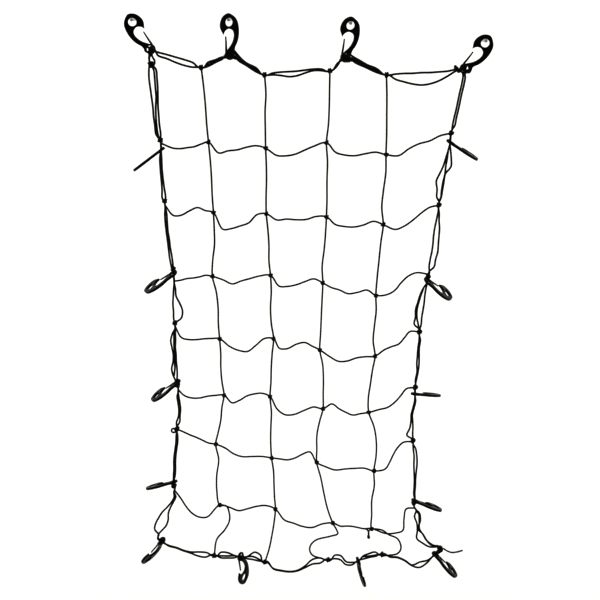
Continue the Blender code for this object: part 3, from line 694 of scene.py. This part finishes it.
# How the passes of the border part between two stations: how far each bends to the right of its
# way, at even steps, for the front pass, the back pass and, where there is one, the third.
borderBends = {
    ("T1", "J01"): ((0.4, -1, -2, -3, -3), (6, 6, 7, 7, 5), ()),
    ("J01", "T2"): ((-3, -2, -1.2), (3, 2, 1.2), (0, 0, 0)),
    ("T2", "J02"): ((-1.5, -2, -3), (1.5, 2, 3), (0, 0, 0)),
    ("J02", "J03"): ((-2, -3, -3, -3, -4, -4, -3), (1, 3, 6, 5, 1, -3, -2), ()),
    ("J03", "T3"): ((-1.3,), (1.3,), ()),
    ("T3", "J04"): ((-2, -2.4, -3), (2, 2.4, 3), (0, 0, 0)),
    ("J04", "T4"): ((0, 0, 1, 1, 2, 2, 2, 1), (9, 15, 20, 23, 22, 18, 11, 2), ()),
    ("T4", "J15"): ((-0.5, -1, 0, -0.5, -0.5, 0, 0), (-3.5, -4, -4, -3.5, -3.5, -3, -3), ()),
    ("R1", "J25"): ((1, 3, 5, 9, 13, 9, 7), (-4, -8, -10, -2, -2, -2, -2), (0, 0, 0, -1, 0, 0, -1)),
    ("J25", "J35"): ((0, 1, 2, 2, 1, 1, 2, 2), (-3, -5, -8, -9, -10, -11, -9, -8), ()),
    ("R2", "J45"): ((7, 11, 13, 15, 13, 13), (1, 1, 0, 0, 0, -1), (5, 9, 11, 12, 10, 5)),
    ("J45", "J55"): ((0, 1, 1, 1, -1, 1), (-3, -2, -3, -4, -3, -1), ()),
    ("R3", "J65"): ((0, 3, 6, 6, 8, 13), (-2, 0, 3, 2, 1, 1), ()),
    ("J65", "R4"): ((0, -1, 0, 0, 0, 1, 2), (-5, -7, -7, -5, -3, -2, 0), ()),
    ("J75", "H3"): ((10, 13, 20, 30, 25, 16), (-2, 4, 18, 15, 15, 12), (0, 7, 15, 15, 15, 9)),
    ("H1", "J10"): ((3, 5, 5, 5, 5, 6, 6, 6), (-9, -9, -8, -6, -4, -3, -2, -2), (-5, -5, -4, -3, 0, 2, 3, 3)),
    ("L1", "J20"): ((2, 3, 3, 3, 3, 4), (1, 1, 1, 0, -1, -2), ()),
    ("J20", "L2"): ((2, 3, 3, 3, 3, 3, 2), (-1, 0, 1, 0, 0, -1, -1), ()),
    ("J30", "J40"): ((1, 2, 3, 2, 2), (-2, -3, -10, -15, -12), ()),
    ("J40", "L3"): ((5, 9, 7, 5, 6, 9, 6), (0, 0, 1, 0, 0, -1, -1), (2, 3, 3, 2, 3, 3, 2)),
    ("J50", "J60"): ((1, -1, -3, -3, 1), (-1, -4, -6, -5, -5), ()),
    ("J60", "L4"): ((0, 0, 1, 2, 2, 1, 1), (-2, -3, -2, -1, -1, -2, -2), ()),
    ("J70", "H2"): ((-4, -2, 3, 9, 12, 14, 12), (-7, -6, -4, -4, -8, -8, -3), ()),
    ("BL", "J81"): ((4, 4, 6, 5, 0, -3), (7, 7, 9, 10, 12, 10), ()),
    ("J81", "B2"): ((-9, -9, -3), (6, 6, 5), (-1, 0, 2)),
    ("B2", "J82"): ((-4, -18, -14), (3, 2, 2), (-4, -6, -2)),
    ("J82", "J83"): ((15, 21, 24, 22, 12, -3, -6), (18, 23, 26, 25, 18, 10, 8), ()),
    ("J83", "B3"): ((-12, -12, 2, 3), (-2, 0, 11, 11), ()),
    ("B3", "J84"): ((-9, -11, -11), (0, 0, 1), (-4, -4, -5)),
    ("J84", "BR"): ((4, 6, 13, 24, 17, 13), (7, 8, 16, 28, 32, 21), ()),
}
# Where the two passes lie further apart than they do elsewhere.
passesApart = {
    ("T4", "J15"): 4.8, ("H1", "J10"): 3.4, ("BL", "J81"): 3.4, ("J82", "J83"): 3.4, ("J84", "BR"): 3.2,
}


def smallRing(right, front, up, radius):
    # A loop of a little over one turn.
    turns = [t / 2 for t in range(14)]
    return tuple((right + radius * math.cos(t), front, up + radius * math.sin(t)) for t in turns)


# Short ends that stick out of the border's knots: steps right, forward and up from the station.
looseEnds = (
    ("T1", ((1.5, -3, -5), (4, -3, -14), (7.2, -3, -20), (6.6, -3, -26), (3, -3, -30))),
    ("T2", ((2, -4.5, 9), (7, -4.5, 8), (13, -3.5, 1.5), (21, -2.8, -7.5), (32, -2.4, -16.5))),
    ("T2", ((3, -3.5, 5), (8, -3.5, 3.5), (14, -3, -3), (24, -2.4, -11.5))),
    ("T3", ((2, -4.5, 6.5), (7, -4.5, 5), (15, -3.5, 0), (26, -2.8, -6), (42, -2.4, -15))),
    ("T3", ((4, -3.5, 1), (12, -3, -2.5), (24, -2.4, -9))),
    ("T4", ((3, -4, -5), (6.5, -4, -7), (9.5, -4, -4.5), (11.6, -4, 2))),
    ("H3", ((-8, -3, -6), (-2, -3, 0), (4, -3, 6))),
    ("T1", smallRing(-4.8, -4.4, -0.6, 4.2)),
    ("J60", smallRing(-6.3, -2.5, -2.3, 4.3)),
)

hookAt = {row[0]: name for name, row in hooks.items()}


def ring():
    # The border's stations in one round, from the first top hook to the right.
    right, bottom, left = borderSides["right"], borderSides["bottom"], borderSides["left"]
    return [*borderSides["top"][:-1], *right[:-1], *reversed(bottom[1:]), *reversed(left[1:])]


def borderHeading(station):
    # The way along the border at a station.
    loop = ring()
    i = loop.index(station)
    return (place(loop[(i + 1) % len(loop)]) - place(loop[i - 1])).normalized()


def eyeLine(station, before, after):
    # Against the hook's flat side the cord goes over the rim and through the eye; against its
    # edge it runs straight through. Also gives the way from one pass to the other.
    eye = place(station)
    toBack = Vector((0, 1, 0))
    if station not in hookAt:
        reach = borderHeading(station) * borderCord["straight"]
        return [eye - reach, eye + reach], toBack
    flat = hookTurn(hookAt[station]) @ toBack
    ways = [(place(near) - eye).normalized() for near in (before, after)]
    slopes = [way.dot(flat) for way in ways]
    side = math.copysign(1, slopes[0]) if abs(slopes[0]) > abs(slopes[1]) else -math.copysign(1, slopes[1])
    lines = []
    for way, slope, face in zip(ways, slopes, (side, -side)):
        along = (way - slope * flat).normalized()
        over = [] if abs(slope) > borderCord["edgeOn"] else borderCord["overRim"]
        lines.append([eye + along * out + flat * face * up for out, up in over])
    if not lines[0] and not lines[1]:
        return [eye], toBack
    across = flat.cross(ways[1] - ways[0]).normalized()
    level = borderCord["nearLevel"]
    if across.y < -level or (abs(across.y) <= level and across.z < 0):
        across = -across
    return [*reversed(lines[0]), eye, *lines[1]], across


def beside(span, which):
    # The bends of one pass, moved off the other pass where the two would hide each other.
    bends, least = [], passesApart.get(span, borderCord["besides"])
    for front, back in zip(*borderBends[span][:2]):
        way = 1 if front > back else -1
        apart = max(abs(front - back), least) * way
        bends.append((front + back) / 2 + apart * (0.5 - which))
    return bends


def borderPass(which):
    loop = ring()
    layer = borderCord["layer"] * (2 * which - 1)
    points = []
    for i, here in enumerate(loop):
        before, after = loop[i - 1], loop[(i + 1) % len(loop)]
        middle, across = eyeLine(here, before, after)
        points += [point + across * layer for point in middle]
        if (here, after) in borderBends:
            points += bowed(place(here, layer), place(after, layer), beside((here, after), which))
        elif (after, here) in borderBends:
            points += reversed(bowed(place(after, layer), place(here, layer), beside((after, here), which)))
    return points


def thirdPasses(front):
    # The short third passes, each run into the front pass at both ends.
    for (start, end), (_, _, bends) in borderBends.items():
        if not bends:
            continue
        middle = bowed(place(start), place(end), bends)
        ends = []
        for station, near in ((start, middle[0]), (end, middle[-1])):
            away = borderCord["thirdFromEye"] if station in hookAt else borderCord["thirdFromJoin"]
            out = (near - place(station)).normalized() * away
            ends.append(min(front, key=lambda p: (p - place(station, -borderCord["layer"]) - out).length))
        clear = borderCord["thirdClear"]
        inner = [p for p in middle if min((p - ends[0]).length, (p - ends[1]).length) > clear]
        yield [ends[0], *inner, ends[1]]


def makeBorder():
    steps, endSteps = borderCord["curveSteps"], borderCord["endSteps"]
    passes = [spline(borderPass(which), steps, closed=True) for which in (0, 1)]
    for name, path in zip(("border_front", "border_back"), passes):
        makeCords(name, [(path, True)], borderCord, "border_cord")
    thirds = [(spline(points, steps), False) for points in thirdPasses(passes[0])]
    makeCords("border_thirds", thirds, borderCord, "border_cord")
    ends = []
    for station, route in looseEnds:
        ends.append((spline([place(station) + Vector(step) for step in route], endSteps), False))
    makeCords("border_ends", ends, borderCord, "border_cord")


makeBorder()
print("border made")

tailCord = {
    "radius": 1.65,
    "step": 1.6,
    "sides": 12,
    "curveSteps": 8,
    # The free end's way from the last hitch: steps right, forward and up.
    "route": ((7.2, 0, 0.5), (15, 2, -6), (25, 3, -10.5), (38, 3, -9), (48, 2, -5)),
}


def makeTail():
    points = [hung(place("H3") + Vector(step)) for step in tailCord["route"]]
    path = spline(points, tailCord["curveSteps"])
    length = sum((b - a).length for a, b in zip(path, path[1:]))
    tail = dress(swept("border_end", [(path, False)], tailCord), "border_tail")
    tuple(path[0])


makeTail()
print("free end made")

# The turns of each kind of knot: how many, their half width and depth, the pitch, how far the last
# one rides over the others, the cord's radius, and how unevenly they stand, in degrees.
meshKnot = {
    "turns": 2.25, "wide": 2.8, "deep": 3.0, "pitch": 2.7, "riding": 1.8,
    "cord": 1.45, "step": 1.1, "sides": 10, "uneven": 35, "seed": 3,
}
sideCollar = {
    "turns": 2.5, "wide": 3.4, "deep": 4.7, "pitch": 2.8, "riding": 1.6,
    "cord": 1.45, "step": 1.2, "sides": 10, "uneven": 12, "seed": 5,
}
edgeCollar = {
    "turns": 2.0, "wide": 3.4, "deep": 4.9, "pitch": 2.8, "riding": 1.6,
    "cord": 1.45, "step": 1.2, "sides": 10, "uneven": 12, "seed": 8,
}
hitchTurns = {
    "turns": 3.0, "wide": 3.8, "deep": 4.8, "pitch": 3.1, "riding": 1.6,
    "cord": 1.6, "step": 1.3, "sides": 12, "uneven": 8, "seed": 11,
}
eyeTurns = {
    "turns": 5.5, "wide": 5.4, "deep": 3.8, "pitch": 3.0, "riding": 1.7,
    "cord": 1.6, "step": 1.3, "sides": 12, "uneven": 6, "seed": 2,
}
cornerTurns = {
    "turns": 3.0, "wide": 4.0, "deep": 3.6, "pitch": 3.1, "riding": 1.5,
    "cord": 1.6, "step": 1.3, "sides": 12, "uneven": 6, "seed": 4,
}
smallTurns = {
    "turns": 1.5, "wide": 2.9, "deep": 3.2, "pitch": 3.0, "riding": 1.0,
    "cord": 1.5, "step": 1.2, "sides": 10, "uneven": 30, "seed": 6,
}
knotLeans = (-12, 16)  # degrees to the right, in turn from knot to knot
turnSteps = 16
ridingTurn = {
    "rise": 1.4,  # how fast it climbs
    "crest": 0.72,  # the share of the turn at which it starts back in
    "fall": 5.6,  # how fast it goes back in
    "spread": 0.45,  # how much of its lift also widens it
}

# Where turns have slid along the border from their station, right and up.
slides = {
    "J10": (-0.5, 5), "J20": (-0.5, 8), "J30": (-1, 24), "J35": (-1.5, -5), "J40": (0, 6),
    "J50": (-1, 9), "J65": (0, 2), "J70": (-1, 9), "J75": (-2.5, 11), "H1": (2.5, -8), "H2": (8.5, -8.5),
}

# Turns tied in front of the hooks' eyes and beside them: station, steps right, forward and up, and
# the way that they lie.
eyeHitches = (("T2", (0.5, -4.6, -0.3), (1, 0, -0.1)), ("T3", (0.5, -4.6, -1.2), (1, 0, -0.2)))
cornerHitches = (("T1", (3.6, -4.6, -0.5), (0.5, 0, -1)), ("B2", (0.5, -4.6, -1), (1, 0, -0.15)))
smallHitches = (
    ("T4", (-15.8, -0.5, 2.3), (1, 0, 0.3)),
    ("T4", (-4, -4.4, 1), (1, 0, 0.35)),
    ("T4", (-1, -4.6, 4.6), (1, 0, 0.5)),
    ("T4", (-11, -0.5, -3.2), (1, 0, 0.4)),
    ("T4", (3.2, -4.2, -4.5), (0.5, 0, -1)),
    ("BR", (-3, -4, 4), (0.8, 0, -1)),
    ("L3", (0.5, -4.2, 1), (0.4, 0, -1)),
    ("R4", (-1, -4.2, 1), (0.4, 0, -1)),
    ("L4", (0, -4, -3), (0, 0, 1)),
)


def pointsObject(name, spots):
    # Bare points, each with the turn of what will stand on it: spots is (place, rotation matrix).
    mesh = bpy.data.meshes.new(name)
    mesh.from_pydata([hung(where) for where, _ in spots], [], [])
    turns = mesh.attributes.new("turn", "FLOAT_VECTOR", "POINT")
    for item, (_, turn) in zip(turns.data, spots):
        item.vector = (hang.to_3x3() @ turn).to_euler("XYZ")
    return newObject(name, mesh)


def winding(sizes):
    # Turns round the local Z, then one riding turn back up over them.
    turns, wide, deep, pitch, riding = (sizes[key] for key in ("turns", "wide", "deep", "pitch", "riding"))
    start = -90
    count = int(turns * turnSteps)
    top = turns * pitch / 2
    path = []
    for i in range(count + 1):
        angle = math.radians(start + 360 * turns * i / count)
        path.append(Vector((wide * math.cos(angle), deep * math.sin(angle), top - turns * pitch * i / count)))
    for i in range(1, turnSteps + 1):
        share = i / turnSteps
        angle = math.radians(start + 360 * turns + 360 * share)
        if share < ridingTurn["crest"]:
            lift = riding * math.sin(math.pi * min(share * ridingTurn["rise"], 1.0))
        else:
            lift = riding * math.cos((share - ridingTurn["crest"]) * ridingTurn["fall"])
        lift = max(lift, 0.0)
        across = (wide + lift * ridingTurn["spread"]) * math.cos(angle)
        path.append(Vector((across, (deep + lift) * math.sin(angle), -top + 2 * top * share)))
    return spline(path, 2)  # one more point between each two


def wound(name, spots, sizes, node):
    # The same turns of cord at every spot.
    guide = curveObject(name + "Winding", [([point * mm for point in winding(sizes)], False)])
    values = {
        "Knot": guide,
        "Radius": sizes["cord"] * mm,
        "Step": sizes["step"] * mm,
        "Sides": sizes["sides"],
        "Sheath": braid,
        "Unevenness": math.radians(sizes["uneven"]),
        "Seed": sizes["seed"],
    }
    made = bakedObject(name, pointsObject(name + "Points", spots), knotTree, values)
    bpy.data.objects.remove(guide)
    dress(made, node)


def onBorder(names):
    spots = []
    for station in names:
        right, up = slides.get(station, (0, 0))
        spots.append((place(station) + Vector((right, 0, up)), standing(borderHeading(station))))
    return spots


def besideStations(rows):
    return [(place(name) + Vector(step), standing(Vector(way).normalized())) for name, step, way in rows]


def makeKnots():
    spots = []
    for row, line in knots.items():
        for upright, (x, z) in enumerate(line, 1):
            lean = math.radians(knotLeans[(row + upright) % 2])
            axis = Vector((math.sin(lean), 0, math.cos(lean)))
            spots.append((Vector((x, 0, z)) + knotShift, standing(axis)))
    wound("mesh_knots", spots, meshKnot, "net")
    joins = [name for name in stations if name[0] == "J"]
    sideJoins = [name for name in joins if name[1] not in "08"]
    edgeJoins = [name for name in joins if name[1] in "08"]
    wound("side_knots", onBorder(sideJoins), sideCollar, "net")
    wound("edge_knots", onBorder(edgeJoins), edgeCollar, "net")
    wound("border_hitches", onBorder(("H1", "H2", "H3")), hitchTurns, "border_cord")
    wound("eye_hitches", besideStations(eyeHitches), eyeTurns, "border_cord")
    wound("corner_hitches", besideStations(cornerHitches), cornerTurns, "border_cord")
    wound("small_hitches", besideStations(smallHitches), smallTurns, "border_cord")


makeKnots()
print("knots made")

# The hook's outline as (across, along) from its eye: the back from the rim to the nose, the mouth
# from the nose down to the root of the tongue, and the tongue.
hookBack = (
    (-9.4, 3.5), (-11.4, 12), (-16.4, 20), (-20.2, 30), (-22, 44), (-19.2, 59.5),
    (-11, 68.4), (-3.5, 71.6), (8.4, 65.4), (14.3, 50.5), (9.4, 36.2),
)
hookMouth = ((9.4, 36.2), (5.6, 42), (-2, 45.2), (-10.3, 41), (-12.1, 33), (-6.9, 19.6), (4.1, 8))
hookTongue = ((4.8, 9), (3.9, 33.4), (6.1, 33.4), (8.6, 6))
tongueSeat = (6.6, 7.6)  # where the mouth's edge meets the rim
rimTurns = range(24, -150, -12)  # degrees round the eye, from the tongue to the back


def flatShape(name, outlines, thick, edge):
    # A moulded plate: filled outlines, pushed out to its thickness, with rounded edges.
    curve = bpy.data.curves.new(name, "CURVE")
    curve.dimensions = "2D"
    curve.fill_mode = "BOTH"
    curve.extrude = (thick / 2 - edge) * mm
    curve.bevel_depth = edge * mm
    curve.bevel_resolution = 2
    curve.offset = -edge * mm
    for corners in outlines:
        line = curve.splines.new("POLY")
        line.points.add(len(corners) - 1)
        for point, (across, along) in zip(line.points, corners):
            point.co = (across * mm, along * mm, 0.0, 1.0)
        line.use_cyclic_u = True
    return bakedMesh(newObject(name, curve))


def hookBody():
    flat = [[Vector((across, along, 0)) for across, along in part] for part in (hookBack, hookMouth)]
    back, mouth = [spline(part, hookSizes["curveSteps"]) for part in flat]
    rim = []
    for angle in rimTurns:
        turn = math.radians(angle)
        rim.append((hookSizes["rim"] * math.cos(turn), hookSizes["rim"] * math.sin(turn)))
    outline = [(p.x, p.y) for p in (*back, *mouth[1:])] + [tongueSeat] + rim
    eye = circle(hookSizes["eye"], (0, 0), hookSizes["eyeSides"])
    headPlace = (hookSizes["headHoleAcross"], hookSizes["headHoleAlong"])
    head = circle(hookSizes["headHole"], headPlace, hookSizes["headHoleSides"])
    return flatShape("hookBody", (outline, eye, head), hookSizes["thick"], hookSizes["edge"])


def hookGate():
    # The sprung tongue: a thin tapered strip that closes the mouth.
    root, tip, tipOut, rootOut = [Vector((across, along, 0)) for across, along in hookTongue]
    for corner in (tip, tipOut):
        corner.y -= hookSizes["tongueGap"]
    inBow, outBow = [Vector((bow, 0, 0)) for bow in hookSizes["tongueBows"]]
    sunk = root - Vector((0, hookSizes["tongueSunk"], 0))
    sideLines = (
        [sunk, (root + tip) / 2 - inBow, tip],
        [tipOut, (tipOut + rootOut) / 2 - outBow, rootOut],
    )
    outline = [(p.x, p.y) for line in sideLines for p in spline(line, hookSizes["tongueSteps"])]
    return flatShape("hookGate", (outline,), hookSizes["tongueThick"], hookSizes["tongueEdge"])


def makeHooks():
    body, gate = hookBody(), hookGate()
    for name in hooks:
        stand = hang @ Matrix.Translation(hookPoint(name, 0, 0) * mm)
        join = []
        for mesh in (body, gate):
            piece = newObject("part", mesh.copy())
            piece.data.transform(stand @ hookTurn(name).to_4x4() @ standUp)
            join.append(piece)
        with bpy.context.temp_override(active_object=join[0], selected_editable_objects=join):
            bpy.ops.object.join()
        hook = join[0]
        hook.name = f"snap_hook_{name}"
        hook.data.materials.clear()
        hook.data.materials.append(nylon)
        dress(hook, f"hook_{name}")
        hook.data.set_sharp_from_angle(angle=math.radians(55))


makeHooks()
print("hooks made")

# The pin's head from the dimple in its front to its back edge: shares of its radius and length.
pinHead = (
    (0, 0.7), (0.3, 0.72), (0.42, 1), (0.6, 0.98), (0.88, 0.68), (1, 0.3), (1, 0), (0.92, -0.08),
)


def turnedMesh(name, profile, sides):
    # Turned on a lathe about the Z axis: profile is (radius, height) in metres.
    mesh = bpy.data.meshes.new(name)
    edges = [(i, i + 1) for i in range(len(profile) - 1)]
    mesh.from_pydata([(radius, 0.0, height) for radius, height in profile], edges, [])
    blank = newObject(name, mesh)
    screw = blank.modifiers.new("turn", "SCREW")
    screw.steps = screw.render_steps = sides
    screw.use_merge_vertices = True
    screw.merge_threshold = 1e-6
    return bakedMesh(blank)


def makePins():
    shank, head, deep = pinSizes["shank"], pinSizes["head"], pinSizes["headLong"]
    for number in range(1, 5):
        where = pinPlace(number)
        front = -where.y / mm + hookSizes["thick"] + pinSizes["stickOut"]
        profile = [(head * out, front + deep * on) for out, on in pinHead]
        profile += [(shank, front - pinSizes["neck"]), (shank, 0), (0, 0)]
        profile = [(radius * mm, height * mm) for radius, height in profile]
        turned = turnedMesh("pin", profile, pinSizes["sides"])
        turned.transform(Matrix.Translation((where.x, 0, where.z)) @ standUp)
        turned.materials.append(steel)
        dress(newObject(f"steel_pin_{number}", turned), f"wall_pin_{number}")
        turned.set_sharp_from_angle(angle=math.radians(40))


makePins()
print("pins made")

studio = {
    "middle": (0.13, -0.04),
    "floor": -1.75,
    "radius": 3.6,
    "innerRing": 1.2,
    "cove": 1.2,
    "coveSteps": 12,
    "wall": 3.2,
    "sides": 96,
    "paint": "#ecece9",
    "speck": 1 / 900,  # a paint roller's texture, about a millimetre
    "speckDeep": 0.0002,
    "daylight": 0.1,
}


def makeStudio():
    # A round white cove: floor, curve and wall in one surface.
    radius, cove, steps = studio["radius"], studio["cove"], studio["coveSteps"]
    profile = [(0.0, 0.0), (studio["innerRing"], 0.0), (radius - cove, 0.0)]
    for i in range(1, steps + 1):
        angle = math.pi / 2 * i / steps
        profile.append((radius - cove * (1 - math.sin(angle)), cove * (1 - math.cos(angle))))
    profile.append((radius, studio["wall"]))
    mesh = turnedMesh("paleFloor", profile, studio["sides"])
    mesh.transform(Matrix.Translation((*studio["middle"], studio["floor"])))
    # Matt emulsion on board: a warm white with no shine.
    made, tree, shader = newMaterial("mattPaint", studio["paint"], Roughness=0.9, Specular_IOR_Level=0.1)
    objectPlace = addNode(tree, "ShaderNodeTexCoord").outputs["Object"]
    speck = addNode(tree, "ShaderNodeTexNoise", {"Vector": objectPlace, "Scale": 1 / studio["speck"]})
    bump = addNode(
        tree,
        "ShaderNodeBump",
        {"Height": speck.outputs[0], "Strength": 0.05, "Distance": studio["speckDeep"]},
    )
    tree.links.new(bump.outputs[0], shader.inputs["Normal"])
    mesh.materials.append(made)
    newObject("paleFloor", mesh)


# Soft boxes: place, what they face, width and height, and watts.
softBoxes = {
    "overhead": ((0.13, 1.0, 2.4), (0.13, 1.0, -1.7), (3.5, 2.5), 57),
    "backdropLeft": ((-2.2, 0.9, 0.8), (0.2, 3.4, -0.9), (1.6, 1.6), 54),
    "backdropRight": ((2.4, 0.9, 0.8), (0.0, 3.4, -0.9), (1.6, 1.6), 54),
    "frontKey": ((-1.4, -2.2, 1.3), (0.13, 0.0, -0.6), (1.2, 1.2), 5),
}


def makeLights():
    world = bpy.data.worlds.new("softDaylight")
    world.use_nodes = True
    daylight = world.node_tree.nodes["Background"]
    daylight.inputs[0].default_value = (1, 1, 1, 1)
    daylight.inputs[1].default_value = studio["daylight"]
    scene.world = world
    for name, (where, aim, size, power) in softBoxes.items():
        lamp = bpy.data.lights.new(name, "AREA")
        lamp.shape = "RECTANGLE"
        lamp.size, lamp.size_y = size
        lamp.energy = power
        made = newObject(name, lamp)
        made.location = where
        made.rotation_euler = (Vector(aim) - Vector(where)).to_track_quat("-Z", "Y").to_euler()


cameraView = {
    "place": (0.1286, -1.7420, -0.0046),
    "tilt": 73,  # degrees up from straight down
    "lens": 54.6,
    "sensor": 36,
}


def makeCamera():
    lens = bpy.data.cameras.new("camera")
    lens.sensor_width = cameraView["sensor"]
    lens.lens = cameraView["lens"]
    camera = newObject("camera", lens)
    camera.location = Vector(cameraView["place"]) - Vector((secondPin.x, 0, secondPin.z))
    camera.rotation_euler = (math.radians(cameraView["tilt"]), 0, 0)
    scene.camera = camera


makeStudio()
makeLights()
makeCamera()
scene.view_settings.view_transform = "Standard"
scene.view_settings.gamma = 0.72
print("studio made")
